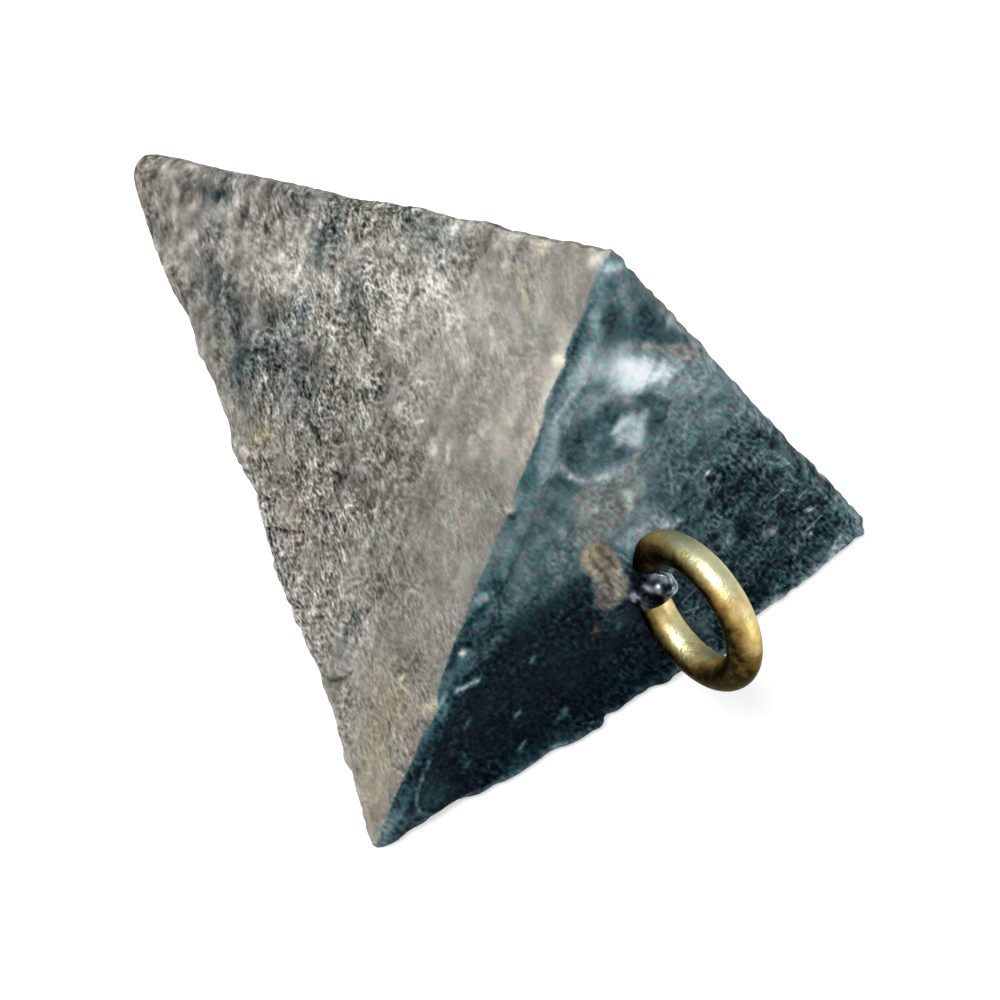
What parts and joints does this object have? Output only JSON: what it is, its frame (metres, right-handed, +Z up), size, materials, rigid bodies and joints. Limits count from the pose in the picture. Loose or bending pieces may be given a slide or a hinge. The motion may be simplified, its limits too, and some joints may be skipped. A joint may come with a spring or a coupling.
{
  "type": "pyramid sinker",
  "caption": "Three-sided pyramid fishing sinker: a cast lead body with a wire eye set in its base, lying on one side.",
  "frame": {"origin": "on the side that the sinker lies on, under the middle of its envelope", "axes": "+Z up, +Y from the eye towards the point, the eye's loop in the plane X = 0"},
  "size_m": [0.046, 0.0702, 0.0391],
  "materials": {
    "lead": "cast and oxidised, grey-brown sides and a dark blue-grey base",
    "eye_brass": "tarnished, satin"
  },
  "bodies": {
    "root": {"lead_casting": "lead", "brass_eye": "eye_brass"}
  },
  "joints": []
}
